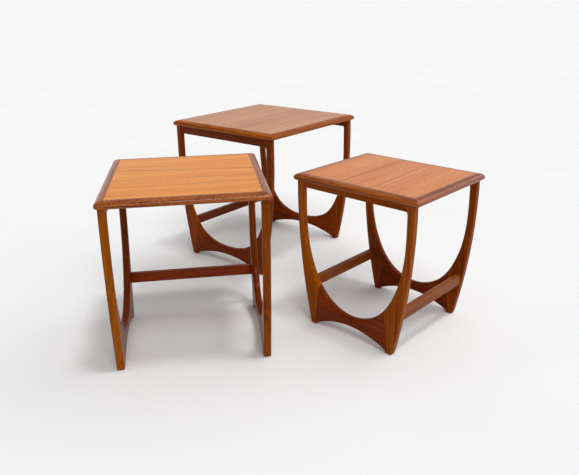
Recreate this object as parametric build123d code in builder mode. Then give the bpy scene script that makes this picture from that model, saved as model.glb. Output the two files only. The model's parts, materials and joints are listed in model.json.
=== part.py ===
"""A nest of three teak occasional tables, standing apart as they do when all three are in use.

Every table has a veneered top in a mitred solid lipping, carried by two shaped side frames
that are joined near the floor by one or two stretchers. Each smaller table slides in under
the next larger one from its front, which is the side with no stretcher in the way.

Every piece is drawn in its own table's frame (X across the side frames, Y from front to rear,
Z up from the floor) and is then set down at the table's place on the floor.
"""

from build123d import *

import os
from dataclasses import dataclass
from math import cos, radians, sin, sqrt

# Overall sizes of the large table (mm)
large_width = 508
large_depth = 508
large_height = 530

# How the medium table fits under the large one, and the small one under the medium
medium_side_gap = 2
medium_top_gap = 7
medium_depth_step = 40
small_side_gap = 5
small_top_gap = 13
small_depth_step = 28

# Top
top_thickness = 19
veneer_thickness = 0.8
lip_width = 26
lip_land = 6
lip_under_flat = 18
nose_height = 7.5
corner_radius = 8

# Side frames, which share one leg template
side_overhang = 9
end_overhang = 16
frame_thickness = 21
leg_width = 24
leg_straight = 10
foot_tuck = 55
foot_length = 18
foot_round = 6
arch_height = 38
arch_end_height = 6
arch_end_in = 3
opening_height = 67
opening_round = 7
edge_round = 4

# Opening between the legs: three points on its curve, inward from the leg and above the floor
spring_drop = 45
thigh_in = 13
thigh_height = 245
flank_in = 40
flank_height = 168
haunch_in = 85
haunch_height = 105

# Slanting glue joint between leg and foot rail
joint_top_in = 62
joint_top_height = 133
joint_foot_in = 4

# Top rails, tenoned between the legs
large_rail_height = 28
medium_rail_height = 23
small_rail_height = 19
rail_setback = 2
rail_edge_round = 2
tenon_length = 14
tenon_thickness = 8
tenon_shoulder = 3
shoulder_block = 9

# Stretchers
stretcher_height = 32
stretcher_thickness = 17
stretcher_inset = 4.5
stretcher_middle = 126
stretcher_edge_round = 2.5

# Dowels and screws
dowel_diameter = 8
dowel_length = 32
joint_dowel_spacing = 50
stretcher_dowel_spacing = 13
stretcher_dowel_bite = 14
joint_end_gap = 1
screw_diameter = 4
screw_head_diameter = 8
screw_head_height = 3.2
screw_bite = 12
screw_slot_width = 1
screw_slot_depth = 1.2
screws_per_rail = 3

# Where the smaller tables stand, from the large table, and how far each is turned
medium_offset = (-697, -309)
medium_turn = -42.4
small_offset = (-251, -702)
small_turn = -4.1

FRONT = -1
REAR = 1
LEFT = -1
RIGHT = 1


@dataclass
class Table:
    """One table of the nest: its own sizes, and where it stands on the floor."""

    name: str
    width: float
    depth: float
    height: float
    rail_height: float
    stretcher_ends: tuple
    offset: tuple
    turn: float

    @property
    def underside(self):
        return self.height - top_thickness

    @property
    def panel_width(self):
        return self.width - 2 * lip_width

    @property
    def panel_depth(self):
        return self.depth - 2 * lip_width

    @property
    def frame_middle(self):
        """Distance of the middle of a side frame's thickness from the table's centre."""
        return self.width / 2 - side_overhang - frame_thickness / 2

    @property
    def leg_outer(self):
        """Distance of a leg's outer edge at the top from the middle of the side frame."""
        return self.depth / 2 - end_overhang

    @property
    def leg_inner(self):
        return self.leg_outer - leg_width

    @property
    def foot_outer(self):
        return self.leg_outer - foot_tuck

    @property
    def foot_inner(self):
        return self.foot_outer - foot_length

    @property
    def between_frames(self):
        return 2 * self.frame_middle - frame_thickness


def inside_width(width):
    """Clear width between the side frames of a table that is so wide over its top."""
    return width - 2 * (side_overhang + frame_thickness)


medium_width = inside_width(large_width) - 2 * medium_side_gap
medium_depth = large_depth - medium_depth_step
medium_height = large_height - top_thickness - medium_top_gap
small_width = inside_width(medium_width) - 2 * small_side_gap
small_depth = medium_depth - small_depth_step
small_height = medium_height - top_thickness - small_top_gap

tables = [
    Table("large", large_width, large_depth, large_height, large_rail_height,
          (REAR,), (0, 0), 0),
    Table("medium", medium_width, medium_depth, medium_height, medium_rail_height,
          (REAR,), medium_offset, medium_turn),
    Table("small", small_width, small_depth, small_height, small_rail_height,
          (FRONT, REAR), small_offset, small_turn),
]

# The legs of all three tables are cut to one curve, which starts just under the lowest top
leg_curve_height = small_height - top_thickness - leg_straight
leg_curve_radius = (leg_curve_height**2 + foot_tuck**2) / (2 * foot_tuck)


def leg_tuck(height):
    """How far the outer edge of a leg has curved inward at this height above the floor."""
    fall = leg_curve_height - height
    return leg_curve_radius - sqrt(leg_curve_radius**2 - fall**2)


def floor_reach(table):
    """Half of the length and of the width that a turned top covers, along the floor's X and Y."""
    c, s = abs(cos(radians(table.turn))), abs(sin(radians(table.turn)))
    half_width = table.width / 2 - corner_radius
    half_depth = table.depth / 2 - corner_radius
    return (
        half_width * c + half_depth * s + corner_radius,
        half_width * s + half_depth * c + corner_radius,
    )


def middle_of_group(axis):
    """Middle of the group's bounding box along one floor axis, seen from the large table."""
    low = min(table.offset[axis] - floor_reach(table)[axis] for table in tables)
    high = max(table.offset[axis] + floor_reach(table)[axis] for table in tables)
    return (low + high) / 2


group_middle = (middle_of_group(0), middle_of_group(1))


def place_of(table):
    """The table's place, with the origin on the floor under the middle of the group."""
    x = table.offset[0] - group_middle[0]
    y = table.offset[1] - group_middle[1]
    return Location((x, y, 0), (0, 0, table.turn))


def write_piece(piece, table, name):
    """Set a finished piece down at its table's place, label it and write it."""
    placed = piece.moved(place_of(table))
    placed.label = f"{table.name}_{name}"
    export_step(placed, f"parts/{placed.label}.step")


# ---------------------------------------------------------------- top


def flat_panel(table, bottom, thickness):
    """A rectangular sheet inside the lippings."""
    with BuildPart() as panel:
        with BuildSketch(Plane.XY.offset(bottom)):
            Rectangle(table.panel_width, table.panel_depth)
        extrude(amount=thickness)
    return panel.part


def lip_profile():
    """Section of a lipping: a flat land beside the veneer, then a full curve to a low nose."""
    nose = (lip_width, nose_height)
    with BuildSketch() as profile:
        with BuildLine():
            Line((0, 0), (lip_under_flat, 0))
            Spline((lip_under_flat, 0), nose, tangents=((1, 0), (0, 1)))
            Spline(nose, (lip_land, top_thickness), tangents=((0, 1), (-1, 0)))
            Polyline((lip_land, top_thickness), (0, top_thickness), (0, 0))
        make_face()
    return profile.sketch


def lipping(table, outward, run, reach):
    """A lipping on the side that faces outward, mitred at both ends to the next ones.

    run is its length over the mitres, and reach is from the table's centre to the panel's edge.
    """
    along = outward.cross(Vector(0, 0, 1))
    section = Plane(
        origin=outward * reach + Vector(0, 0, table.underside), x_dir=outward, z_dir=along
    )
    with BuildPart() as strip:
        with BuildSketch(section):
            add(lip_profile())
        extrude(amount=run / 2, both=True)
        for end in (-1, 1):
            corner = outward * (reach + lip_width) + along * (end * run / 2)
            mitre = Plane(origin=corner, z_dir=outward - along * end)
            split(bisect_by=mitre, keep=Keep.TOP)
        with BuildSketch(Plane.XY):
            RectangleRounded(table.width, table.depth, corner_radius)
        extrude(amount=table.height, mode=Mode.INTERSECT)
    return strip.part


def drilled_lipping(table, side):
    """A side lipping with the pilot holes for the screws that hold the top rail to it."""
    strip = lipping(table, Vector(side, 0, 0), table.depth, table.panel_width / 2)
    with BuildPart() as drilled:
        add(strip)
        with Locations(*screw_places(table, side, table.underside)):
            Cylinder(
                screw_diameter / 2,
                screw_bite,
                align=(Align.CENTER, Align.CENTER, Align.MIN),
                mode=Mode.SUBTRACT,
            )
    return drilled.part


# ---------------------------------------------------------------- side frames


def frame_face(table):
    """Outline of a side frame below the top: two legs on a foot rail round an open middle."""
    arch_end = (table.foot_inner - arch_end_in, arch_end_height)
    spring = (table.leg_inner, leg_curve_height - spring_drop)
    knee = (table.leg_outer, leg_curve_height)
    with BuildSketch() as face:
        with BuildLine():
            Line((0, arch_height), (0, opening_height))
            Spline(
                (0, opening_height),
                (table.leg_inner - haunch_in, haunch_height),
                (table.leg_inner - flank_in, flank_height),
                (table.leg_inner - thigh_in, thigh_height),
                spring,
                tangents=((1, 0), (0, 1)),
            )
            Polyline(
                spring,
                (table.leg_inner, table.underside),
                (table.leg_outer, table.underside),
                knee,
            )
            TangentArc(knee, (table.foot_outer, 0), tangent=(0, -1))
            Polyline((table.foot_outer, 0), (table.foot_inner, 0), arch_end)
            TangentArc((0, arch_height), arch_end, tangent=(1, 0))
        make_face()
        mirror(about=Plane.YZ)
        fillet(face.vertices().filter_by(lambda v: v.Y < arch_end_height + 1), foot_round)
    return face.sketch


def frame_blank(table, side):
    """A whole side frame as glued up and shaped, before the pieces are told apart."""
    with BuildPart() as blank:
        with BuildSketch(Plane.YZ.offset(side * table.frame_middle)):
            add(frame_face(table))
        extrude(amount=frame_thickness / 2, both=True)
        curved = blank.edges().filter_by(GeomType.BSPLINE)
        fillet(curved, opening_round)
        outer = blank.edges().filter_by(GeomType.CIRCLE).filter_by(
            lambda e: e.radius > leg_curve_radius / 2
        )
        fillet(outer, edge_round)
    return blank.part


def joint_plane(table, side, end):
    """Plane of the glue joint between a leg and the foot rail, facing out through the leg."""
    top_y = table.leg_inner - joint_top_in
    foot_y = (table.foot_outer + table.foot_inner) / 2 - joint_foot_in
    return Plane(
        origin=(side * table.frame_middle, end * (top_y + foot_y) / 2, joint_top_height / 2),
        x_dir=(0, end * (top_y - foot_y), joint_top_height),
        z_dir=(0, end * joint_top_height, foot_y - top_y),
    )


def screw_places(table, side, height):
    """Evenly spaced screws along the middle of a top rail, at this height above the floor."""
    pitch = 2 * table.leg_inner / screws_per_rail
    first = -pitch * (screws_per_rail - 1) / 2
    return [(side * table.frame_middle, first + n * pitch, height) for n in range(screws_per_rail)]


def stretcher_y(table, end):
    """Middle of a stretcher's thickness, just inside the outer edges of the two legs."""
    leg_edge = table.leg_outer - leg_tuck(stretcher_middle)
    return end * (leg_edge - stretcher_inset - stretcher_thickness / 2)


def peg(length):
    """A round dowel or the hole for one, lying along its plane's normal."""
    with BuildPart() as pin:
        Cylinder(dowel_diameter / 2, length)
    return pin.part


def stretcher_pegs(table, side, end, gap):
    """The dowels that hold one end of a stretcher to a leg, or their holes with an end gap."""
    bite_middle = dowel_length / 2 - stretcher_dowel_bite
    inner_face = table.frame_middle - frame_thickness / 2
    across = Plane(
        origin=(side * (inner_face - bite_middle), stretcher_y(table, end), stretcher_middle),
        x_dir=(0, 0, 1),
        z_dir=(1, 0, 0),
    )
    with BuildPart() as pegs:
        with Locations(across):
            with GridLocations(stretcher_dowel_spacing, 1, 2, 1):
                add(peg(dowel_length + 2 * gap))
    return pegs.part


def joint_pegs(table, side, end, gap):
    """The dowels across a leg's joint with the foot rail, or their holes with an end gap."""
    with BuildPart() as pegs:
        with Locations(joint_plane(table, side, end)):
            with GridLocations(joint_dowel_spacing, 1, 2, 1):
                add(peg(dowel_length + 2 * gap))
    return pegs.part


def rail_tenon(table, side, gap):
    """The tenons of a top rail as one bar through it, or the mortises with an end gap."""
    length = 2 * (table.leg_inner + tenon_length + gap)
    middle = table.underside - table.rail_height / 2
    with BuildPart() as bar:
        with Locations((side * table.frame_middle, 0, middle)):
            Box(tenon_thickness, length, table.rail_height - 2 * tenon_shoulder)
    return bar.part


def leg(table, blank, side, end):
    """A leg: its part of the shaped frame, left square beside the top rail, with its joints."""
    with BuildPart() as post:
        add(blank)
        split(bisect_by=joint_plane(table, side, end), keep=Keep.TOP)
        square_middle = Vector(
            side * table.frame_middle,
            end * (table.leg_inner + shoulder_block / 2),
            table.underside - table.rail_height / 2,
        )
        with Locations(square_middle):
            Box(frame_thickness, shoulder_block, table.rail_height)
        add(rail_tenon(table, side, joint_end_gap), mode=Mode.SUBTRACT)
        add(joint_pegs(table, side, end, joint_end_gap), mode=Mode.SUBTRACT)
        if end in table.stretcher_ends:
            add(stretcher_pegs(table, side, end, joint_end_gap), mode=Mode.SUBTRACT)
    return post.part


def foot_rail(table, blank, side):
    """The deep curved rail between the feet, with the holes for its dowels."""
    with BuildPart() as rail:
        add(blank)
        for end in (FRONT, REAR):
            split(bisect_by=joint_plane(table, side, end), keep=Keep.BOTTOM)
            add(joint_pegs(table, side, end, joint_end_gap), mode=Mode.SUBTRACT)
    return rail.part


def screw(length, slotted):
    """A countersunk wood screw pointing up from its head, or the plain form of its hole."""
    with BuildPart() as body:
        Cylinder(
            screw_diameter / 2, length, align=(Align.CENTER, Align.CENTER, Align.MIN)
        )
        Cone(
            screw_head_diameter / 2,
            screw_diameter / 2,
            screw_head_height,
            align=(Align.CENTER, Align.CENTER, Align.MIN),
        )
        if slotted:
            Box(
                screw_head_diameter,
                screw_slot_width,
                screw_slot_depth,
                align=(Align.CENTER, Align.CENTER, Align.MIN),
                mode=Mode.SUBTRACT,
            )
    return body.part


def screw_length(table):
    return table.rail_height + screw_bite


def top_rail(table, side):
    """The straight rail under the top, tenoned into both legs and screwed up into the lipping."""
    bottom = table.underside - table.rail_height
    with BuildPart() as rail:
        with Locations((side * table.frame_middle, 0, bottom)):
            Box(
                frame_thickness - 2 * rail_setback,
                2 * table.leg_inner,
                table.rail_height,
                align=(Align.CENTER, Align.CENTER, Align.MIN),
            )
        fillet(rail.edges().filter_by(Axis.Y).group_by(Axis.Z)[0], rail_edge_round)
        add(rail_tenon(table, side, 0))
        with Locations(*screw_places(table, side, bottom)):
            add(screw(screw_length(table), slotted=False), mode=Mode.SUBTRACT)
    return rail.part


# ---------------------------------------------------------------- between the side frames


def stretcher(table, end):
    """The straight rail that ties the two side frames together near the floor."""
    with BuildPart() as rail:
        with Locations((0, stretcher_y(table, end), stretcher_middle)):
            Box(table.between_frames, stretcher_thickness, stretcher_height)
        fillet(rail.edges().filter_by(Axis.X), stretcher_edge_round)
        for side in (LEFT, RIGHT):
            add(stretcher_pegs(table, side, end, joint_end_gap), mode=Mode.SUBTRACT)
    return rail.part


def dowels(table):
    """All the dowels of one table: across the foot rail joints and into the stretchers."""
    with BuildPart() as pegs:
        for side in (LEFT, RIGHT):
            for end in (FRONT, REAR):
                add(joint_pegs(table, side, end, 0))
            for end in table.stretcher_ends:
                add(stretcher_pegs(table, side, end, 0))
    return pegs.part


def screws(table):
    """The screws through both top rails into the side lippings."""
    bottom = table.underside - table.rail_height
    with BuildPart() as fixings:
        for side in (LEFT, RIGHT):
            with Locations(*screw_places(table, side, bottom)):
                add(screw(screw_length(table), slotted=True))
    return fixings.part


# ---------------------------------------------------------------- all the pieces

side_names = {LEFT: "left", RIGHT: "right"}
end_names = {FRONT: "front", REAR: "rear"}


def write_top(table):
    core_thickness = top_thickness - 2 * veneer_thickness
    core_bottom = table.underside + veneer_thickness
    write_piece(flat_panel(table, table.underside, veneer_thickness), table, "under_veneer")
    write_piece(flat_panel(table, core_bottom, core_thickness), table, "top_core")
    write_piece(
        flat_panel(table, core_bottom + core_thickness, veneer_thickness), table, "top_veneer"
    )
    for end, name in end_names.items():
        strip = lipping(table, Vector(0, end, 0), table.width, table.panel_depth / 2)
        write_piece(strip, table, f"{name}_lipping")
    for side, name in side_names.items():
        write_piece(drilled_lipping(table, side), table, f"{name}_lipping")


def write_side_frame(table, side):
    blank = frame_blank(table, side)
    for end, name in end_names.items():
        write_piece(leg(table, blank, side, end), table, f"{side_names[side]}_{name}_leg")
    write_piece(foot_rail(table, blank, side), table, f"{side_names[side]}_foot_rail")
    write_piece(top_rail(table, side), table, f"{side_names[side]}_top_rail")


os.makedirs("parts", exist_ok=True)
for table in tables:
    write_top(table)
    for side in (LEFT, RIGHT):
        write_side_frame(table, side)
    for end in table.stretcher_ends:
        write_piece(stretcher(table, end), table, f"{end_names[end]}_stretcher")
    write_piece(dowels(table), table, "dowels")
    write_piece(screws(table), table, "screws")
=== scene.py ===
"""A nest of three teak tables, standing apart on a pale floor.

Each section makes one group of pieces of all three tables: sizes, mesh, wood and how it rides.
Every mesh is worked out in its table's own frame (X across the side frames, Y from front to
rear, Z up from the floor) and is then set down where that table stands. Lengths are in metres.
"""

import json
from math import atan2, cos, pi, radians, sin, sqrt

import bmesh
import bpy
import numpy as np
from mathutils import Matrix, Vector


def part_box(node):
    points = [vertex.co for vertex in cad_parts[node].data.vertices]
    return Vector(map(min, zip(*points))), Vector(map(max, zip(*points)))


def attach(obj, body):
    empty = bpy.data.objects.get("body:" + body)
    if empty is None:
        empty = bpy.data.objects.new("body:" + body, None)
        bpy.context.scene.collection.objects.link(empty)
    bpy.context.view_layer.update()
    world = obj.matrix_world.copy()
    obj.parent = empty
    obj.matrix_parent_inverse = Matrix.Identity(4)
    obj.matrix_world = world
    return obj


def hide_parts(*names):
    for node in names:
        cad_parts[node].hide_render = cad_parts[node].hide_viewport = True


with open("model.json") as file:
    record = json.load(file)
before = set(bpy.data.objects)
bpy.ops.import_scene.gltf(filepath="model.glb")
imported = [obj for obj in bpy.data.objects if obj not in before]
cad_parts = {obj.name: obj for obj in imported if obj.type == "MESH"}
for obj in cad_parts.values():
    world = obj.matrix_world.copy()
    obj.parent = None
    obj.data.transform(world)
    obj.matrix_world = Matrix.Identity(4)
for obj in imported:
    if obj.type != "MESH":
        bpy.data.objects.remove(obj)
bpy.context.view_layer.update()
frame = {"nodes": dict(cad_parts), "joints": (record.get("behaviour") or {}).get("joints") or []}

MM = 0.001
FRONT, REAR = -1, 1
LEFT, RIGHT = -1, 1
END_NAMES = {FRONT: "front", REAR: "rear"}
SIDE_NAMES = {LEFT: "left", RIGHT: "right"}


# ---------------------------------------------------------------- the three tables
# Where each table stands and its main sizes, all read from its CAD nodes. The smaller tables
# slide along their own depth, so the axis of that slide tells how far each one is turned.


class Table:
    """One table's name, place, turn and main sizes, and the way in and out of its own frame."""

    def __init__(self, name, turn):
        self.name = name
        self.body = f"{name}_table"
        self.turn = turn
        low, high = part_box(f"{name}_top_core")
        self.centre = np.array([(low.x + high.x) / 2, (low.y + high.y) / 2, 0])
        c, s = cos(turn), sin(turn)
        self.axes = np.array([[c, s, 0], [-s, c, 0], [0, 0, 1]])
        self.width, _, _ = self.extent("front_lipping")
        self.panel_width, self.panel_depth, _ = self.extent("top_veneer")
        self.height = self.reach("top_veneer", 2)[1]
        self.underside = self.reach("under_veneer", 2)[0]
        self.rail_bottom = self.reach("left_top_rail", 2)[0]
        self.frame_middle = sum(self.reach("right_top_rail", 0)) / 2
        self.frame_thickness = self.extent("right_rear_leg")[0]
        self.leg_outer = self.reach("right_rear_leg", 1)[1]

    def own(self, node):
        """Vertices of one of this table's CAD nodes, turned back into the table's own frame."""
        mesh = frame["nodes"][f"{self.name}_{node}"].data
        points = np.zeros(len(mesh.vertices) * 3)
        mesh.vertices.foreach_get("co", points)
        return (points.reshape(-1, 3) - self.centre) @ self.axes.T

    def extent(self, node):
        """Size of a node along the table's own axes."""
        points = self.own(node)
        return points.max(0) - points.min(0)

    def reach(self, node, axis):
        """Lowest and highest place of a node along one of the table's own axes."""
        points = self.own(node)[:, axis]
        return points.min(), points.max()

    def set_down(self, points):
        """Turns points of the table's own frame to where the table stands."""
        return points @ self.axes + self.centre

    def node(self, name):
        return frame["nodes"][f"{self.name}_{name}"]


turns = {"large": 0.0}
for joint in frame["joints"]:
    across, outward = joint["axis"][0], joint["axis"][1]
    turns[joint["child"].removesuffix("_table")] = atan2(across, -outward)
tables = [Table(name, turn) for name, turn in turns.items()]


# ---------------------------------------------------------------- veneered tops
# A particle board core between two veneers. The face veneer is crown-cut teak laid with its
# grain across the table, sanded flat and lacquered, so it shows fine straight lines and a sheen.


def linear(hex_colour):
    """An sRGB hex colour as the linear RGBA that a shader's socket takes."""
    srgb = np.array([int(hex_colour[n:n + 2], 16) for n in (1, 3, 5)]) / 255
    rgb = np.where(srgb <= 0.04045, srgb / 12.92, ((srgb + 0.055) / 1.055) ** 2.4)
    return (*rgb, 1.0)


def add_node(tree, kind, inputs=None, **settings):
    """Adds a node, sets it, and links or sets its inputs, which are named or numbered."""
    made = tree.nodes.new(kind)
    for name, value in settings.items():
        setattr(made, name, value)
    for socket, value in (inputs or {}).items():
        if isinstance(value, bpy.types.NodeSocket):
            tree.links.new(value, made.inputs[socket])
        else:
            made.inputs[socket].default_value = value
    return made


def new_material(name):
    """An empty material with its shader, as (material, node tree, shader)."""
    material = bpy.data.materials.new(name)
    material.use_nodes = True
    tree = material.node_tree
    return material, tree, tree.nodes["Principled BSDF"]


def table_coordinates(tree, table):
    """Object coordinates turned back into the table's own frame."""
    coordinates = add_node(tree, "ShaderNodeTexCoord")
    mapping = add_node(tree, "ShaderNodeMapping", {
        "Vector": coordinates.outputs["Object"],
        "Location": tuple(-table.axes @ table.centre),
        "Rotation": (0, 0, -table.turn),
    })
    return coordinates, mapping.outputs["Vector"]


def stretched_noise(tree, vector, along, length, breadth, detail=3.0, roughness=0.55):
    """Noise whose spots are `length` long along the grain and `breadth` wide across it."""
    scale = [1 / breadth] * 3
    scale["XYZ".index(along)] = 1 / length
    drawn = add_node(tree, "ShaderNodeVectorMath", {0: vector, 1: scale}, operation="MULTIPLY")
    noise = add_node(tree, "ShaderNodeTexNoise", {
        "Vector": drawn.outputs[0], "Scale": 1.0, "Detail": detail, "Roughness": roughness,
    })
    return noise.outputs["Fac"]


def remap(tree, value, low, high, to_low=0.0, to_high=1.0):
    """A value eased from one range to another and held at both ends."""
    return add_node(tree, "ShaderNodeMapRange", {
        0: value, 1: low, 2: high, 3: to_low, 4: to_high,
    }, interpolation_type="SMOOTHSTEP").outputs[0]


def mix_colour(tree, factor, first, second, blend="MIX"):
    """The first colour at factor 0 and the second, or the two blended, at factor 1."""
    return add_node(tree, "ShaderNodeMix", {0: factor, 6: first, 7: second},
                    data_type="RGBA", blend_type=blend).outputs[2]


LACQUER_AMBER = "#ff9c4a"         # old lacquer yellows


def lacquer(shader, specular, coat, coat_roughness):
    """Aged amber lacquer: a tinted sheen from the filled pores under a thin clear coat, IOR 1.5."""
    shader.inputs["Metallic"].default_value = 0.0
    shader.inputs["IOR"].default_value = 1.5
    shader.inputs["Specular IOR Level"].default_value = specular
    shader.inputs["Specular Tint"].default_value = linear(LACQUER_AMBER)
    shader.inputs["Coat Weight"].default_value = coat
    shader.inputs["Coat Roughness"].default_value = coat_roughness
    shader.inputs["Coat IOR"].default_value = 1.5


VENEER_LINE = 6 * MM              # real lines are under 1 mm apart, drawn coarser so that they show
VENEER_LINE_LENGTH = 300 * MM
VENEER_BAND = 46 * MM             # soft light and dark bands
VENEER_BAND_LENGTH = 900 * MM
VENEER_FLECK = 3 * MM             # open pores, drawn about ten times as wide as they are
VENEER_FLECK_LENGTH = 18 * MM
DARK_LINE_WIDTH = 5 * MM          # half the width over which a strong growth line fades out
DARK_LINE_PATCH = (90 * MM, 30 * MM)
LINE_WAVER = 4 * MM               # how far such a line strays sideways
LINE_WAVER_LENGTH = 190 * MM
SHEET_BREADTH = 5 * 1000 * MM     # wider than any top, so that a whole line strays together


def teak_veneer(table, pale, body, dark, dark_lines):
    """Crown-cut teak veneer: fine lines along X, broad soft bands, flecks of open pore.

    dark_lines are the few growth lines that stand out, as (Y at the left edge, Y at the right
    edge, strength).
    """
    material, tree, shader = new_material(f"teak_veneer_{table.name}")
    _, own = table_coordinates(tree, table)
    fine = stretched_noise(tree, own, "X", VENEER_LINE_LENGTH, VENEER_LINE, 5.0, 0.75)
    band = stretched_noise(tree, own, "X", VENEER_BAND_LENGTH, VENEER_BAND, 2.0)
    fleck = stretched_noise(tree, own, "X", VENEER_FLECK_LENGTH, VENEER_FLECK, 2.0)
    tone = mix_colour(tree, remap(tree, band, 0.35, 0.66), linear(body), linear(pale))
    tone = mix_colour(tree, remap(tree, fine, 0.5, 0.66, 0.0, 0.5), tone, linear(dark))
    tone = mix_colour(tree, remap(tree, fine, 0.48, 0.36, 0.0, 0.3), tone, linear(pale))
    tone = mix_colour(tree, remap(tree, fleck, 0.54, 0.68, 0.0, 0.42), tone, linear(dark))
    waver = stretched_noise(tree, own, "X", LINE_WAVER_LENGTH, SHEET_BREADTH, 2.0)
    patchy = stretched_noise(tree, own, "X", *DARK_LINE_PATCH, 2.0)
    for left, right, strength in dark_lines:
        slope = (right - left) / table.panel_width
        level = add_node(tree, "ShaderNodeVectorMath", {0: own, 1: (-slope, 1.0, 0.0)},
                         operation="DOT_PRODUCT")
        drawn = add_node(tree, "ShaderNodeMath", {
            0: waver, 1: LINE_WAVER, 2: level.outputs["Value"],
        }, operation="MULTIPLY_ADD")
        gap = add_node(tree, "ShaderNodeMath", {
            0: drawn.outputs[0], 1: (left + right + LINE_WAVER) / 2,
        }, operation="SUBTRACT")
        gap = add_node(tree, "ShaderNodeMath", {0: gap.outputs[0]}, operation="ABSOLUTE")
        line = remap(tree, gap.outputs[0], 0.0, DARK_LINE_WIDTH, strength, 0.0)
        shown = add_node(tree, "ShaderNodeMath", {
            0: line, 1: remap(tree, patchy, 0.3, 0.55, 0.35, 1.0),
        }, operation="MULTIPLY")
        tone = mix_colour(tree, shown.outputs[0], tone, linear(dark))
    bump = add_node(tree, "ShaderNodeBump", {
        "Strength": 0.25, "Distance": 0.08 * MM, "Height": fleck,
    })
    tree.links.new(tone, shader.inputs["Base Color"])
    tree.links.new(remap(tree, fine, 0.3, 0.7, 0.34, 0.44), shader.inputs["Roughness"])
    tree.links.new(bump.outputs[0], shader.inputs["Normal"])
    lacquer(shader, specular=0.25, coat=0.18, coat_roughness=0.3)
    return material


def backing_veneer():
    """Plain balancing veneer under the top: unlacquered, dull, with faint long grain."""
    material, tree, shader = new_material("backing_veneer")
    _, own = table_coordinates(tree, tables[0])
    grain = stretched_noise(tree, own, "X", 200 * MM, 5 * MM, 4.0)
    tone = mix_colour(tree, remap(tree, grain, 0.35, 0.65), linear("#7a5334"), linear("#9a6d47"))
    tree.links.new(tone, shader.inputs["Base Color"])
    shader.inputs["Roughness"].default_value = 0.7
    return material


CHIP = 4 * MM


def particle_board():
    """Pressed particle board: pale chips of a few millimetres in a matt binder."""
    material, tree, shader = new_material("particle_board")
    coordinates = add_node(tree, "ShaderNodeTexCoord")
    chips = add_node(tree, "ShaderNodeTexVoronoi", {
        "Vector": coordinates.outputs["Object"], "Scale": 1 / CHIP,
    })
    tone = mix_colour(tree, remap(tree, chips.outputs["Distance"], 0.0, 0.7),
                      linear("#c8a878"), linear("#9c7a4c"))
    tree.links.new(tone, shader.inputs["Base Color"])
    shader.inputs["Roughness"].default_value = 0.85
    return material


# Pale, body and dark colour of each top: the large one is the greyest, the medium the most amber.
VENEER_TONES = {
    "large": ("#b67f57", "#a87048", "#824c2a"),
    "medium": ("#d98a2c", "#d07a22", "#8a440c"),
    "small": ("#ca7e44", "#c07038", "#8c421c"),
}
# Strong growth lines, as (Y at the left edge, Y at the right edge, strength from 0 to 1).
VENEER_DARK_LINES = {
    "large": [(0.03, 0.02, 0.3)],
    "medium": [(0.07, 0.036, 1.0), (-0.037, -0.036, 0.9), (-0.108, -0.1, 0.5)],
    "small": [(0.056, 0.051, 0.9), (-0.051, -0.038, 0.7), (-0.075, -0.06, 0.5)],
}


def give(node, material):
    """Puts one material on a carried-over CAD node."""
    node.data.materials.clear()
    node.data.materials.append(material)


backing = backing_veneer()
board = particle_board()
for table in tables:
    give(table.node("top_core"), board)
    give(table.node("under_veneer"), backing)
    give(table.node("top_veneer"),
         teak_veneer(table, *VENEER_TONES[table.name], VENEER_DARK_LINES[table.name]))


# ---------------------------------------------------------------- lippings
# Four solid teak strips round each top, mitred at the corners and glued to the core. Each is
# spindle-moulded after gluing: a flat land flush with the veneer, a full curve to a low nose.

LIP_LAND = 6 * MM                 # flat strip beside the veneer
LIP_UNDER_FLAT = 18 * MM
NOSE_HEIGHT = 7.5 * MM            # of the furthest point, above the underside
NOSE_CORNER = 8 * MM              # radius of the top's corners, seen from above
MITRE_CORNER = 0.25 * MM          # what is left of that radius beside the veneer
VENEER_EDGE_EASE = 0.3 * MM
MITRE_GAP = 0.12 * MM             # glue line, half of it on each side
NOSE_WEAR_AND_HIGHLIGHT = 6 * MM                # the nose is paler this far above and below it: rubbed lacquer and a painted highlight
CREASE_ANGLE = radians(35)

RING_SPACING = 8 * MM             # real growth rings are 2 to 5 mm apart, drawn coarser to show
RING_SWAY = 30 * MM
RING_SWAY_LENGTH = 160 * MM
RING_TAPER = 0.12                 # the rings waver this much more slowly along the grain
STREAK = 4 * MM
STREAK_LENGTH = 320 * MM
BAND = 38 * MM
BAND_LENGTH = 700 * MM
PORE = 1.3 * MM                   # real pores are 0.2 to 0.3 mm wide, drawn coarser to show
PORE_LENGTH = 16 * MM
CURL = 14 * MM                    # ripples across the grain
CURL_LENGTH = 5 * MM


def stained(hex_colour, depth):
    """A wood colour as linear RGBA, darkened by `depth`: the redder the deeper."""
    red, green, blue, _ = linear(hex_colour)
    return red * depth, green * depth**1.7, blue * depth, 1.0


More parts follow.
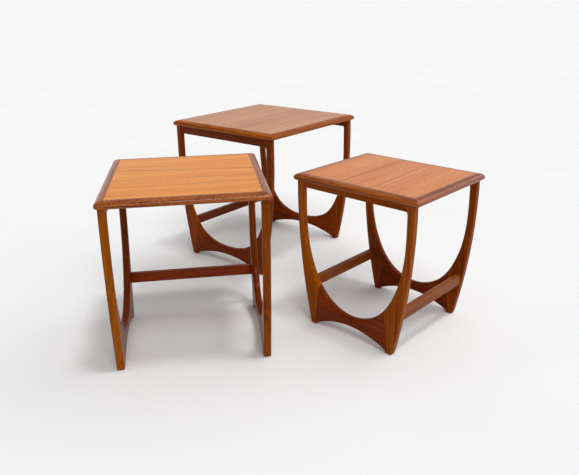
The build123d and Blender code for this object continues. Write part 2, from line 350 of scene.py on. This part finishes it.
def teak(name, table, along, pale, body, dark, heart=(0.11, 0.07, -0.05),
         gloss=0.3, coat=0.15, figure=0.15, streaks=0.5, ripple=0.0, depth=1.0):
    """Solid lacquered teak with its grain along one axis of the table.

    Growth rings are cylinders round a line `heart` away from the table's centre, bent by slow
    noise, so faces cut near the heart show arched figure and the rest show straight lines.
    End grain, where the surface faces along the grain, drinks more lacquer and is darker. Arrises
    marked by the wear_and_highlight attribute are paler: rubbed lacquer on the frames, and on the
    lippings' noses rubbed lacquer with a painted highlight. figure, streaks and ripple are the
    strengths of the rings, of the dark streaks along the grain and of the curl across it, and depth
    darkens the whole piece, which for the legs and foot rails in LEG_PAINTED_SHADE and
    RAIL_PAINTED_SHADE is painted shade.
    """
    material, tree, shader = new_material(name)
    pale, body, dark = (stained(colour, depth) for colour in (pale, body, dark))
    coordinates, own = table_coordinates(tree, table)
    slow = add_node(tree, "ShaderNodeTexNoise", {
        "Vector": own, "Scale": 1 / RING_SWAY_LENGTH, "Detail": 1.0,
    })
    sway = add_node(tree, "ShaderNodeVectorMath", {
        0: slow.outputs["Color"], 1: (RING_SWAY, RING_SWAY, RING_SWAY), 2: own,
    }, operation="MULTIPLY_ADD")
    squeeze = [1.0, 1.0, 1.0]
    squeeze["XYZ".index(along)] = RING_TAPER
    logged = add_node(tree, "ShaderNodeMapping", {
        "Vector": sway.outputs[0], "Location": heart, "Scale": squeeze,
    })
    rings = add_node(tree, "ShaderNodeTexWave", {
        "Vector": logged.outputs[0], "Scale": pi / 10 / RING_SPACING, "Distortion": 1.5,
        "Detail": 2.0, "Detail Scale": 1.2, "Detail Roughness": 0.6,
    }, wave_type="RINGS", rings_direction=along)
    streak = stretched_noise(tree, own, along, STREAK_LENGTH, STREAK, 4.0, 0.6)
    broad = stretched_noise(tree, own, along, BAND_LENGTH, BAND, 2.0)
    pore = stretched_noise(tree, own, along, PORE_LENGTH, PORE, 2.0)
    tone = mix_colour(tree, remap(tree, broad, 0.34, 0.66), body, pale)
    tone = mix_colour(tree, remap(tree, rings.outputs["Fac"], 0.35, 1.0, 0.0, figure),
                      tone, dark)
    tone = mix_colour(tree, remap(tree, streak, 0.5, 0.64, 0.0, streaks), tone, dark)
    tone = mix_colour(tree, remap(tree, pore, 0.54, 0.7, 0.0, 0.35), tone, dark)
    if ripple:
        curl = stretched_noise(tree, own, along, CURL_LENGTH, CURL, 2.0)
        tone = mix_colour(tree, remap(tree, curl, 0.52, 0.68, 0.0, ripple), tone, pale)
        tone = mix_colour(tree, remap(tree, curl, 0.46, 0.32, 0.0, ripple), tone, dark)
    axis = [0.0, 0.0, 0.0]
    axis["XYZ".index(along)] = 1.0
    facing = add_node(tree, "ShaderNodeVectorMath", {
        0: coordinates.outputs["Normal"], 1: tuple(np.array(axis) @ table.axes),
    }, operation="DOT_PRODUCT")
    end_on = add_node(tree, "ShaderNodeMath", {0: facing.outputs["Value"]}, operation="ABSOLUTE")
    tone = mix_colour(tree, remap(tree, end_on.outputs[0], 0.6, 0.95, 0.0, 0.55),
                      tone, dark)
    # paler where rubbed, and on the lippings' noses also a painted highlight
    worn = add_node(tree, "ShaderNodeAttribute", attribute_name="wear_and_highlight")
    tone = mix_colour(tree, remap(tree, worn.outputs["Fac"], 0.2, 1.0, 0.0, 0.3),
                      tone, pale)
    bump = add_node(tree, "ShaderNodeBump", {
        "Strength": 0.3, "Distance": 0.12 * MM, "Height": pore,
    })
    tree.links.new(tone, shader.inputs["Base Color"])
    tree.links.new(remap(tree, pore, 0.35, 0.75, gloss, gloss + 0.14), shader.inputs["Roughness"])
    tree.links.new(bump.outputs[0], shader.inputs["Normal"])
    lacquer(shader, specular=0.08, coat=coat, coat_roughness=0.1)
    return material


def bend(start, leaving, end, arriving, count):
    """A cubic curve between two points whose speed at both ends is the distance between them."""
    start, leaving, end, arriving = (np.array(v, float) for v in (start, leaving, end, arriving))
    speed = np.linalg.norm(end - start)
    t = np.linspace(0, 1, count)[:, None]
    return ((2 * t**3 - 3 * t**2 + 1) * start + (t**3 - 2 * t**2 + t) * leaving * speed
            + (3 * t**2 - 2 * t**3) * end + (t**3 - t**2) * arriving * speed)


def strip_faces(rows, columns, first=0):
    """Quads of a tube of `rows` closed loops with `columns` points each, and its two ends."""
    row, column = np.meshgrid(np.arange(rows - 1), np.arange(columns), indexing="ij")
    here, beside = row * columns + column, row * columns + (column + 1) % columns
    quads = np.stack([here, beside, beside + columns, here + columns], -1).reshape(-1, 4) + first
    ends = [list(range(first + columns - 1, first - 1, -1)),
            list(range(first + (rows - 1) * columns, first + rows * columns))]
    return quads.tolist() + ends


def new_piece(name, table, points, faces, wear_and_highlight):
    """A mesh from points in the table's own frame, with how pale each point is drawn: rubbed lacquer
    and a painted highlight.
    """
    mesh = bpy.data.meshes.new(name)
    mesh.from_pydata(table.set_down(points).tolist(), [], faces)
    mesh.attributes.new("wear_and_highlight", "FLOAT", "POINT").data.foreach_set("value", wear_and_highlight)
    return finished(name, mesh)


def finished(name, mesh):
    """An object of the mesh: faces outward, soft over curves and crisp over CREASE_ANGLE."""
    shape = bmesh.new()
    shape.from_mesh(mesh)
    bmesh.ops.recalc_face_normals(shape, faces=shape.faces)
    shape.to_mesh(mesh)
    shape.free()
    mesh.shade_smooth()
    mesh.set_sharp_from_angle(angle=CREASE_ANGLE)
    piece = bpy.data.objects.new(name, mesh)
    bpy.context.scene.collection.objects.link(piece)
    return piece


def stands_for(piece, table, node, material):
    """The piece takes the place of a CAD node and rides with its table."""
    piece.data.materials.append(material)
    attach(piece, table.body)
    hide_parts(f"{table.name}_{node}")


def lip_section(table):
    """Closed section of a lipping as (outward from the panel, up from the underside)."""
    thick = table.height - table.underside
    width = (table.width - table.panel_width) / 2
    ease = VENEER_EDGE_EASE
    land = np.array([(0, thick - ease), (ease, thick), (LIP_LAND / 2, thick)])
    crown = bend((LIP_LAND, thick), (1, 0), (width, NOSE_HEIGHT), (0, -1), 18)
    belly = bend((width, NOSE_HEIGHT), (0, -1), (LIP_UNDER_FLAT, 0), (-1, 0), 10)[1:]
    under = np.array([(LIP_UNDER_FLAT / 2, 0), (0, 0), (0, thick / 2)])
    return np.vstack([land, crown, belly, under])


def lip_points(section, half_run, reach):
    """The section carried from mitre to mitre, turning through an eighth of a circle at each end.

    Further out on the section the corner is rounder, up to NOSE_CORNER at the nose. Returns
    (along, outward, up) with one row for each station.
    """
    offset, up = section[:, 0], section[:, 1]
    corner = MITRE_CORNER + NOSE_CORNER * (offset / offset.max()) ** 2
    corner = np.minimum(corner, offset + MITRE_CORNER)
    turn = np.linspace(pi / 4, 0, 8)[:, None]
    along_end = half_run + offset - corner + corner * np.sin(turn)
    outward_end = reach + offset - corner + corner * np.cos(turn)
    middle = np.linspace(1, -1, 25)[1:-1, None] * (half_run + offset - corner)
    along = np.vstack([along_end - MITRE_GAP, middle, MITRE_GAP - along_end[::-1]])
    outward = np.vstack([outward_end, np.full_like(middle, reach) + offset, outward_end[::-1]])
    return np.stack([along, outward, np.broadcast_to(up, along.shape)], -1)


def lipping(table, name, outward, half_run, reach, material):
    """One lipping, `reach` out from the middle along `outward`, paler along its nose: rubbed lacquer
    and a painted highlight.
    """
    section = lip_section(table)
    grid = lip_points(section, half_run, reach)
    rows, columns = grid.shape[:2]
    along = np.array([-outward[1], outward[0]])
    plan = grid[..., :1] * along + grid[..., 1:2] * np.array(outward)
    points = np.concatenate([plan, grid[..., 2:] + table.underside], -1).reshape(-1, 3)
    # Painted highlight and wear: the band round the nose is drawn paler, most at the corners.
    near_nose = np.clip(1 - np.abs(section[:, 1] - NOSE_HEIGHT) / NOSE_WEAR_AND_HIGHLIGHT, 0, 1)
    near_nose *= section[:, 0] > LIP_UNDER_FLAT
    at_corner = np.clip(1 - np.minimum(np.arange(rows), np.arange(rows)[::-1]) / 9, 0, 1)
    wear_and_highlight = near_nose[None, :] * (0.35 + 0.65 * at_corner[:, None])
    piece = new_piece(f"{table.name}_{name}_moulded", table, points,
                      strip_faces(rows, columns), wear_and_highlight.ravel())
    stands_for(piece, table, name, material)


# Pale, body and dark colour of the lippings, the curl of their grain and how much lacquer is left.
LIP_TONES = {
    "large": ("#a0520c", "#8c4104", "#3e1601"),
    "medium": ("#9e5216", "#843f0c", "#3a1301"),
    "small": ("#9c5016", "#863c0c", "#3e1602"),
}
LIP_RIPPLE = {"large": 0.0, "medium": 0.5, "small": 0.0}
LIP_COAT = {"large": 0.15, "medium": 0.42, "small": 0.55}
for table in tables:
    across = teak(f"teak_lipping_across_{table.name}", table, "X", *LIP_TONES[table.name],
                  coat=LIP_COAT[table.name], figure=0.3, streaks=0.8, ripple=LIP_RIPPLE[table.name])
    deep = teak(f"teak_lipping_deep_{table.name}", table, "Y", *LIP_TONES[table.name],
                coat=LIP_COAT[table.name], figure=0.3, streaks=0.8, ripple=LIP_RIPPLE[table.name])
    half_width, half_depth = table.panel_width / 2, table.panel_depth / 2
    for end, name in END_NAMES.items():
        lipping(table, f"{name}_lipping", (0, end), half_width, half_depth, across)
    for side, name in SIDE_NAMES.items():
        lipping(table, f"{name}_lipping", (side, 0), half_depth, half_width, deep)


# ---------------------------------------------------------------- side frames
# Two curved legs glued and dowelled to a deep foot rail on slanting joints, in solid teak. The
# frame is shaped as one: the opening is rounded over with a large cutter, the outside with a
# small one, and the large round stops short of the top rail and leaves a square shoulder.

LEG_WIDTH = 24 * MM
LEG_CURVE_HEIGHT = 443 * MM       # a leg is straight above this and curves in below it
FOOT_TUCK = 55 * MM               # how far in the foot stands from the leg's top
FOOT_LENGTH = 18 * MM
FOOT_ROUND = 5 * MM
ARCH_HEIGHT = 38 * MM             # under the foot rail, at the middle
ARCH_END = (3 * MM, 6 * MM)       # where the arch starts: in from the foot, above the floor
OPENING_HEIGHT = 67 * MM          # lowest point of the opening
SPRING_HEIGHT = LEG_CURVE_HEIGHT - 45 * MM

# Points of the opening's edge, as (inward from the leg's inner face, above the floor).
THIGH = (13 * MM, 245 * MM)
FLANK = (40 * MM, 168 * MM)
ABOVE_JOINT = (52 * MM, 148 * MM)
JOINT_TOP = (62 * MM, 133 * MM)
BELOW_JOINT = (70 * MM, 121 * MM)
HAUNCH = (85 * MM, 105 * MM)
BELOW_HAUNCH = (100 * MM, 94 * MM)

# Heights on the outside that face the thigh, the flank, the heel and the toe, and the place on
# the arch that faces the haunch, as (share of the way out from the middle, above the floor).
THIGH_OUTSIDE = 235 * MM
FLANK_OUTSIDE = 130 * MM
HEEL = 6 * MM
TOE = 4 * MM
ARCH_HAUNCH = (0.55, 27 * MM)

OPENING_ROUND = 7 * MM            # radius along the opening
EDGE_ROUND = 4 * MM               # radius along the outside
SHOULDER_ROUND = 0.7 * MM         # radius that is left at the top rail
RUN_OUT = 9 * MM                  # length over which the cutter leaves the wood
FRAME_WEAR = 0.4
JOINT_FOOT_IN = 4 * MM
GLUE_LINE = 0.06 * MM             # half a joint's thickness
ROUND_STEPS = 7
FLAT_STEPS = 7


def leg_edge(table, height):
    """Outer edge of a leg at a height: straight under the top, then an arc in to the foot."""
    radius = (LEG_CURVE_HEIGHT**2 + FOOT_TUCK**2) / (2 * FOOT_TUCK)
    fall = np.maximum(LEG_CURVE_HEIGHT - height, 0)
    return table.leg_outer - radius + np.sqrt(radius**2 - fall**2)


def even_curve(points, leaving, arriving, count):
    """A cubic spline through points, with its directions given at both ends.

    The knots are spaced by the distances between the points, and the slopes at the inner
    points are those that make the curvature continuous, which is a small linear system.
    """
    points = np.array(points, float)
    step = np.linalg.norm(np.diff(points, axis=0), axis=1)
    size = len(points)
    system, wanted = np.eye(size), np.zeros((size, 2))
    wanted[0], wanted[-1] = leaving, arriving
    for n in range(1, size - 1):
        before, after = step[n - 1], step[n]
        system[n, n - 1:n + 2] = 1 / before, 2 / before + 2 / after, 1 / after
        wanted[n] = 3 * ((points[n] - points[n - 1]) / before**2
                         + (points[n + 1] - points[n]) / after**2)
    slope = np.linalg.solve(system, wanted)
    knots = np.concatenate([[0], np.cumsum(step)])
    place = np.linspace(0, knots[-1], count)
    span = np.clip(np.searchsorted(knots, place, side="right") - 1, 0, size - 2)
    t = ((place - knots[span]) / step[span])[:, None]
    chord = step[span][:, None]
    return ((2 * t**3 - 3 * t**2 + 1) * points[span] + (t**3 - 2 * t**2 + t) * chord * slope[span]
            + (3 * t**2 - 2 * t**3) * points[span + 1] + (t**3 - t**2) * chord * slope[span + 1])


def eased_corner(before, corner, after, reach):
    """A parabola round a corner, from `reach` before it to `reach` past it."""
    before, corner, after = (np.array(p, float) for p in (before, corner, after))
    start = corner + (before - corner) / np.linalg.norm(before - corner) * reach
    end = corner + (after - corner) / np.linalg.norm(after - corner) * reach
    t = np.linspace(0, 1, 7)[:, None]
    return (1 - t) ** 2 * start + 2 * t * (1 - t) * corner + t**2 * end


def outer_path(table):
    """Outside of half a side frame, as (Y, Z): down the leg, round the foot, along the arch."""
    foot_outer = table.leg_outer - FOOT_TUCK
    foot_inner = foot_outer - FOOT_LENGTH
    arch_end = np.array([foot_inner - ARCH_END[0], ARCH_END[1]])
    height = np.concatenate([[table.underside], np.linspace(LEG_CURVE_HEIGHT, FOOT_ROUND, 60)])
    leg = np.stack([leg_edge(table, height), height], -1)
    arch_radius = (arch_end[0]**2 + (ARCH_HEIGHT - arch_end[1])**2) / 2
    arch_radius /= ARCH_HEIGHT - arch_end[1]
    inward = np.linspace(arch_end[0] - 0.8 * FOOT_ROUND, 0, 50)
    arch = np.stack([inward, ARCH_HEIGHT - arch_radius + np.sqrt(arch_radius**2 - inward**2)], -1)
    heel = eased_corner(leg[-1], (foot_outer, 0), (foot_inner, 0), FOOT_ROUND)
    toe = eased_corner((foot_outer, 0), (foot_inner, 0), arch_end, 0.6 * FOOT_ROUND)
    brow = eased_corner((foot_inner, 0), arch_end, arch[0], 0.5 * FOOT_ROUND)
    return np.vstack([leg[:-1], heel, toe, brow, arch])


def opening_path(table):
    """Edge of the opening in half a side frame, as (Y, Z), from the top to the middle."""
    inner = table.leg_outer - LEG_WIDTH
    spring = (inner, SPRING_HEIGHT)
    through = [(0, OPENING_HEIGHT)]
    through += [(inner - inward, height) for inward, height in (HAUNCH, FLANK, THIGH)]
    curve = even_curve(through + [spring], (1, 0), (0, 1), 160)
    return np.vstack([(inner, table.underside), curve[::-1]])


def along_path(path, place):
    """Points at distances along a path, and the path's unit direction there."""
    run = np.concatenate([[0], np.cumsum(np.linalg.norm(np.diff(path, axis=0), axis=1))])

    def at(distance):
        return np.stack([np.interp(distance, run, path[:, n]) for n in (0, 1)], -1)

    tiny = 0.8 * MM
    ahead, behind = at(np.minimum(place + tiny, run[-1])), at(np.maximum(place - tiny, 0))
    direction = ahead - behind
    return at(place), direction / np.linalg.norm(direction, axis=1)[:, None]


def place_on(path, point):
    """Distance along a path of the place that is nearest to a point."""
    run = np.concatenate([[0], np.cumsum(np.linalg.norm(np.diff(path, axis=0), axis=1))])
    fine = np.linspace(0, run[-1], 2000)
    spots = np.stack([np.interp(fine, run, path[:, n]) for n in (0, 1)], -1)
    return fine[np.argmin(np.linalg.norm(spots - np.array(point), axis=1))]


def stations(table):
    """Matching places on the outside and on the opening, from the top of a leg to the middle.

    Each pair is (outside, opening, number of steps from the pair before), and the steps between
    two pairs are even in distance along both edges.
    """
    outside, opening = outer_path(table), opening_path(table)
    inner = table.leg_outer - LEG_WIDTH
    foot_middle = table.leg_outer - FOOT_TUCK - FOOT_LENGTH / 2

    def inside(place):
        return inner - place[0], place[1]

    pairs = [
        ((table.leg_outer, table.underside), (inner, table.underside), 0),
        ((table.leg_outer, table.rail_bottom), (inner, table.rail_bottom), 4),
        ((table.leg_outer, table.rail_bottom - RUN_OUT), (inner, table.rail_bottom - RUN_OUT), 10),
        ((leg_edge(table, SPRING_HEIGHT), SPRING_HEIGHT), (inner, SPRING_HEIGHT), 8),
        ((leg_edge(table, THIGH_OUTSIDE), THIGH_OUTSIDE), inside(THIGH), 22),
        ((leg_edge(table, FLANK_OUTSIDE), FLANK_OUTSIDE), inside(FLANK), 16),
        ((foot_middle + FOOT_LENGTH / 2, HEEL), inside(ABOVE_JOINT), 16),
        ((foot_middle, 0), inside(JOINT_TOP), 14),
        ((foot_middle - FOOT_LENGTH / 2, TOE), inside(BELOW_JOINT), 10),
        ((inner * ARCH_HAUNCH[0], ARCH_HAUNCH[1]), inside(BELOW_HAUNCH), 14),
        ((0, ARCH_HEIGHT), (0, OPENING_HEIGHT), 22),
    ]
    steps = np.cumsum([count for _, _, count in pairs])
    every = np.arange(steps[-1] + 1)
    outer_place = np.interp(every, steps, [place_on(outside, out) for out, _, _ in pairs])
    inner_place = np.interp(every, steps, [place_on(opening, at) for _, at, _ in pairs])
    return along_path(outside, outer_place), along_path(opening, inner_place)


def frame_sections(table):
    """Closed sections of half a side frame, as (X from the frame's middle, Y, Z), and wear.

    A section is a rectangle from the outside to the opening with its corners eased. A corner is
    a quarter ellipse, stretched where the section crosses the edge at a slant, so that the edge
    keeps its true radius.
    """
    (outer, outer_way), (inner, inner_way) = stations(table)
    span = inner - outer
    length = np.linalg.norm(span, axis=1)
    toward = span / length[:, None]

    def slant(way):
        return np.abs(toward[:, 0] * way[:, 1] - toward[:, 1] * way[:, 0]).clip(0.55, 1)

    below = (table.rail_bottom - inner[:, 1]) / RUN_OUT
    eased = np.clip(below, 0, 1) ** 0.5
    round_in = SHOULDER_ROUND + (OPENING_ROUND - SHOULDER_ROUND) * eased
    round_out = np.full_like(round_in, EDGE_ROUND)
    reach_in, reach_out = round_in / slant(inner_way), round_out / slant(outer_way)
    turn = np.linspace(0, pi / 2, ROUND_STEPS)
    half = table.frame_thickness / 2
    flat = np.linspace(0, 1, FLAT_STEPS + 1)[1:-1]

    def column(values):
        return values[:, None]

    across = [
        column(reach_out) * (1 - np.cos(turn)),
        column(reach_out) + column(length - reach_in - reach_out) * flat,
        column(length) - column(reach_in) * (1 - np.sin(turn)),
    ]
    aside = [
        half - column(round_out) * (1 - np.sin(turn)),
        np.full((len(length), len(flat)), half),
        half - column(round_in) * (1 - np.cos(turn)),
    ]
    across, aside = np.hstack(across), np.hstack(aside)
    across, aside = np.hstack([across, across[:, ::-1]]), np.hstack([aside, -aside[:, ::-1]])
    worn = np.concatenate([FRAME_WEAR * np.sin(2 * turn), flat * 0, turn * 0])
    worn = np.broadcast_to(np.concatenate([worn, worn[::-1]]), across.shape)
    place = outer[:, None, :] + across[..., None] * toward[:, None, :]
    return np.concatenate([aside[..., None], place], -1), worn


def frame_blank(table, side):
    """A whole side frame as one closed mesh, in the table's own frame."""
    half, worn = frame_sections(table)
    front = half * np.array([1, -1, 1])
    loops = np.concatenate([front, half[:-1][::-1]])
    loops[..., 0] += side * table.frame_middle
    wear_and_highlight = np.concatenate([worn, worn[:-1][::-1]])
    rows, columns = loops.shape[:2]
    mesh = bpy.data.meshes.new("blank")
    mesh.from_pydata(loops.reshape(-1, 3).tolist(), [], strip_faces(rows, columns))
    mesh.attributes.new("wear_and_highlight", "FLOAT", "POINT").data.foreach_set("value", wear_and_highlight.ravel())
    return mesh


def sawn_piece(name, table, blank, cuts):
    """The part of a blank that is on the inner side of each cut, given as (point, normal)."""
    shape = bmesh.new()
    shape.from_mesh(blank)
    for point, normal in cuts:
        everything = shape.verts[:] + shape.edges[:] + shape.faces[:]
        cut = bmesh.ops.bisect_plane(shape, geom=everything, plane_co=point, plane_no=normal,
                                     clear_outer=True)
        rim = [edge for edge in cut["geom_cut"] if isinstance(edge, bmesh.types.BMEdge)]
        bmesh.ops.edgeloop_fill(shape, edges=rim)
    mesh = bpy.data.meshes.new(name)
    shape.to_mesh(mesh)
    shape.free()
    points = np.zeros(len(mesh.vertices) * 3)
    mesh.vertices.foreach_get("co", points)
    mesh.vertices.foreach_set("co", table.set_down(points.reshape(-1, 3)).ravel())
    return finished(name, mesh)


def joint_cut(table, side, end, keep):
    """The slanting joint of a leg: keep is 1 for the foot rail's side of it and -1 for the leg's."""
    top_y = table.leg_outer - LEG_WIDTH - JOINT_TOP[0]
    foot_y = table.leg_outer - FOOT_TUCK - FOOT_LENGTH / 2 - JOINT_FOOT_IN
    slope = np.array([0, end * JOINT_TOP[1], foot_y - top_y])
    slope /= np.linalg.norm(slope)
    point = np.array([side * table.frame_middle, end * foot_y, 0]) - keep * GLUE_LINE * slope
    return point, keep * slope


# Pale, body and dark colour of the legs and of the foot rails, which look redder.
FRAME_TONES = {
    "large": ("#863a00", "#6f2c00", "#340e00"),
    "medium": ("#964e00", "#7e3c00", "#3c1300"),
    "small": ("#984c00", "#823b00", "#3c1200"),
}
FOOT_RAIL_TONES = {
    "large": ("#803100", "#6a2400", "#300c00"),
    "medium": ("#843400", "#6e2600", "#320d00"),
    "small": ("#843300", "#6e2600", "#320d00"),
}
FRAME_COAT = {"large": 0.04, "medium": 0.08, "small": 0.08}
# Painted shade: single legs and foot rails that stand in shade, such as the medium table's rear legs
# under its top and the right frames, are darkened, as a share of their frame's colour.
LEG_PAINTED_SHADE = {
    "medium_right_front": 0.78, "medium_left_rear": 0.62, "medium_right_rear": 0.62,
    "small_right_front": 0.76, "small_right_rear": 0.8, "large_left_front": 0.95,
}
RAIL_PAINTED_SHADE = {"small_right": 0.72, "medium_left": 0.8, "medium_right": 0.75}
for table in tables:
    for side, side_name in SIDE_NAMES.items():
        blank = frame_blank(table, side)
        for end, end_name in END_NAMES.items():
            node = f"{side_name}_{end_name}_leg"
            # the legs listed in LEG_PAINTED_SHADE are darkened as painted shade
            wood = teak(f"teak_{table.name}_{node}", table, "Z", *FRAME_TONES[table.name],
                        coat=FRAME_COAT[table.name],
                        depth=LEG_PAINTED_SHADE.get(f"{table.name}_{side_name}_{end_name}", 1.0))
            leg = sawn_piece(f"{table.name}_{node}_shaped", table, blank,
                             [joint_cut(table, side, end, -1)])
            stands_for(leg, table, node, wood)
        node = f"{side_name}_foot_rail"
        # the foot rails listed in RAIL_PAINTED_SHADE are darkened as painted shade
        wood = teak(f"teak_{table.name}_{node}", table, "Y", *FOOT_RAIL_TONES[table.name],
                    heart=(0.05, -0.03, 0.06), coat=FRAME_COAT[table.name],
                    depth=RAIL_PAINTED_SHADE.get(f"{table.name}_{side_name}", 1.0))
        rail = sawn_piece(f"{table.name}_{node}_shaped", table, blank,
                          [joint_cut(table, side, end, 1) for end in END_NAMES])
        stands_for(rail, table, node, wood)
        bpy.data.meshes.remove(blank)


# ---------------------------------------------------------------- top rails and stretchers
# Straight rails of solid teak with lightly rounded edges. The top rails are tenoned between
# the legs and drilled for screws. The stretchers are dowelled between the side frames.

STRETCHER_TONES = {
    "large": ("#682806", "#561e03", "#2e0c00"),
    "medium": ("#903810", "#782a08", "#3e1202"),
    "small": ("#8a4a18", "#78390e", "#421a04"),
}
for table in tables:
    rail_wood = teak(f"teak_top_rails_{table.name}", table, "Y", *FRAME_TONES[table.name],
                     heart=(-0.06, 0.02, 0.3), coat=0.05, depth=0.85)
    for name in SIDE_NAMES.values():
        give(table.node(f"{name}_top_rail"), rail_wood)
    cross_wood = teak(f"teak_stretchers_{table.name}", table, "X", *STRETCHER_TONES[table.name],
                      heart=(0.0, 0.12, 0.02))
    for name in END_NAMES.values():
        if f"{table.name}_{name}_stretcher" in frame["nodes"]:
            give(table.node(f"{name}_stretcher"), cross_wood)


# ---------------------------------------------------------------- dowels and screws
# Beech dowels inside the joints, and slotted countersunk steel screws, zinc plated, driven up
# through the top rails. Only the screw heads show, from below.


BEECH_FLECK = 1 * MM
BEECH_FLECK_LENGTH = 6 * MM
PLATING_SPOT = 3 * MM


def beech():
    """Turned beech: pale, dull, with short dark flecks."""
    material, tree, shader = new_material("beech_dowel")
    _, own = table_coordinates(tree, tables[0])
    fleck = stretched_noise(tree, own, "Z", BEECH_FLECK_LENGTH, BEECH_FLECK, 2.0)
    tone = mix_colour(tree, remap(tree, fleck, 0.5, 0.7), linear("#d8b384"), linear("#a97d4e"))
    tree.links.new(tone, shader.inputs["Base Color"])
    shader.inputs["Roughness"].default_value = 0.6
    return material


def zinc_plate():
    """Bright zinc on steel: a cool metal, dulled in spots where the plating has aged."""
    material, tree, shader = new_material("zinc_plated_steel")
    coordinates = add_node(tree, "ShaderNodeTexCoord")
    spots = add_node(tree, "ShaderNodeTexNoise", {
        "Vector": coordinates.outputs["Object"], "Scale": 1 / PLATING_SPOT, "Detail": 3.0,
    })
    tone = mix_colour(tree, remap(tree, spots.outputs["Fac"], 0.4, 0.7),
                      linear("#b9b6ae"), linear("#8d877b"))
    tree.links.new(tone, shader.inputs["Base Color"])
    tree.links.new(remap(tree, spots.outputs["Fac"], 0.35, 0.7, 0.28, 0.5),
                   shader.inputs["Roughness"])
    shader.inputs["Metallic"].default_value = 1.0
    return material


dowel_wood, screw_metal = beech(), zinc_plate()
for table in tables:
    give(table.node("dowels"), dowel_wood)
    give(table.node("screws"), screw_metal)


# ---------------------------------------------------------------- floor, light and camera
# A pale seamless floor in a white room that is brighter on one side, with a soft light overhead,
# one from the camera's side and one from a window on the right. The camera is a metre up.

FLOOR_HALF = 60.0
FLOOR_MOTTLE = 0.5                # a floor of poured paint is uneven over about half a metre
WORLD_STRENGTH = 3.0


def studio_floor():
    """A flat pale floor, with the faintest mottling of matt paint."""
    corners = [(x * FLOOR_HALF, y * FLOOR_HALF, 0) for x, y in ((-1, -1), (1, -1), (1, 1), (-1, 1))]
    mesh = bpy.data.meshes.new("studio_floor")
    mesh.from_pydata(corners, [], [(0, 1, 2, 3)])
    material, tree, shader = new_material("matt_floor_paint")
    coordinates = add_node(tree, "ShaderNodeTexCoord")
    mottle = add_node(tree, "ShaderNodeTexNoise", {
        "Vector": coordinates.outputs["Object"], "Scale": 1 / FLOOR_MOTTLE,
    })
    tone = mix_colour(tree, remap(tree, mottle.outputs["Fac"], 0.3, 0.7),
                      linear("#dcdcdc"), linear("#dedede"))
    tree.links.new(tone, shader.inputs["Base Color"])
    shader.inputs["Roughness"].default_value = 0.9
    shader.inputs["Specular IOR Level"].default_value = 0.1
    mesh.materials.append(material)
    piece = bpy.data.objects.new("studio_floor", mesh)
    bpy.context.scene.collection.objects.link(piece)


def sun(name, toward, strength, spread):
    """A distant soft light that shines from a direction, `spread` wide in the sky."""
    lamp = bpy.data.lights.new(name, "SUN")
    lamp.energy = strength
    lamp.angle = spread
    holder = bpy.data.objects.new(name, lamp)
    holder.rotation_euler = (atan2(sqrt(toward[0]**2 + toward[1]**2), toward[2]), 0,
                             atan2(toward[1], toward[0]) + pi / 2)
    bpy.context.scene.collection.objects.link(holder)


def studio_world(steps, heading, behind):
    """White light from all round, whose brightness changes with height as (sine, brightness).

    Above the backdrop the half of the room towards `heading` is the bright one, and the other
    half has `behind` of its brightness.
    """
    world = bpy.data.worlds.new("studio")
    world.use_nodes = True
    tree = world.node_tree
    direction = add_node(tree, "ShaderNodeTexCoord").outputs["Generated"]
    height = add_node(tree, "ShaderNodeSeparateXYZ", {0: direction})
    ramp = add_node(tree, "ShaderNodeValToRGB", {0: height.outputs["Z"]})
    points = ramp.color_ramp.elements
    while len(points) < len(steps):
        points.new(0.5)
    for point, (place, brightness) in zip(points, steps):
        point.position = place
        point.color = (brightness / WORLD_STRENGTH,) * 3 + (1.0,)
    ahead = add_node(tree, "ShaderNodeVectorMath", {
        0: direction, 1: (sin(heading), cos(heading), 0.0),
    }, operation="DOT_PRODUCT")
    side = remap(tree, ahead.outputs["Value"], -0.5, 0.5, behind, 1.0)
    above = remap(tree, height.outputs["Z"], 0.2, 0.55)
    shade = mix_colour(tree, above, ramp.outputs["Color"], side, "MULTIPLY")
    background = tree.nodes["Background"]
    tree.links.new(shade, background.inputs["Color"])
    background.inputs["Strength"].default_value = WORLD_STRENGTH
    bpy.context.scene.world = world


CAMERA_PLACE = (-1.469, -1.286, 0.967)
CAMERA_HEADING = radians(50.803)      # from +Y towards +X
CAMERA_PITCH = radians(17.203)        # down
CAMERA_ROLL = radians(-0.794)
CAMERA_LENS = 39.708
CAMERA_RISE = -0.07                   # of the picture's width, keeps the legs near upright


def camera():
    """Stands the camera and turns it: heading, then pitch, then roll."""
    lens = bpy.data.cameras.new("camera")
    lens.lens = CAMERA_LENS
    lens.sensor_width = 36
    lens.shift_y = CAMERA_RISE
    holder = bpy.data.objects.new("camera", lens)
    aim = (Matrix.Rotation(-CAMERA_HEADING, 4, "Z") @ Matrix.Rotation(pi / 2 - CAMERA_PITCH, 4, "X")
           @ Matrix.Rotation(CAMERA_ROLL, 4, "Z"))
    holder.matrix_world = Matrix.Translation(CAMERA_PLACE) @ aim
    bpy.context.scene.collection.objects.link(holder)
    bpy.context.scene.camera = holder


# Brightness of the room, as (sine of the height, brightness): pale as the floor at the horizon,
# darker half way up and brightest overhead.
ROOM_LIGHT = [(0.0, 0.93), (0.06, 0.9), (0.3, 0.72), (0.5, 0.4), (0.8, 0.7), (1.0, 1.5)]
BRIGHT_SIDE = CAMERA_HEADING + radians(65)
DARK_SIDE_SHARE = 0.3

studio_floor()
studio_world(ROOM_LIGHT, BRIGHT_SIDE, DARK_SIDE_SHARE)
sun("key", (0.03, -0.25, 0.92), 0.95, radians(9))
sun("fill", (-0.42, -0.6, 0.9), 1.25, radians(25))
sun("window", (0.71, -0.35, 0.6), 0.78, radians(50))
camera()
bpy.context.scene.view_settings.view_transform = "Standard"
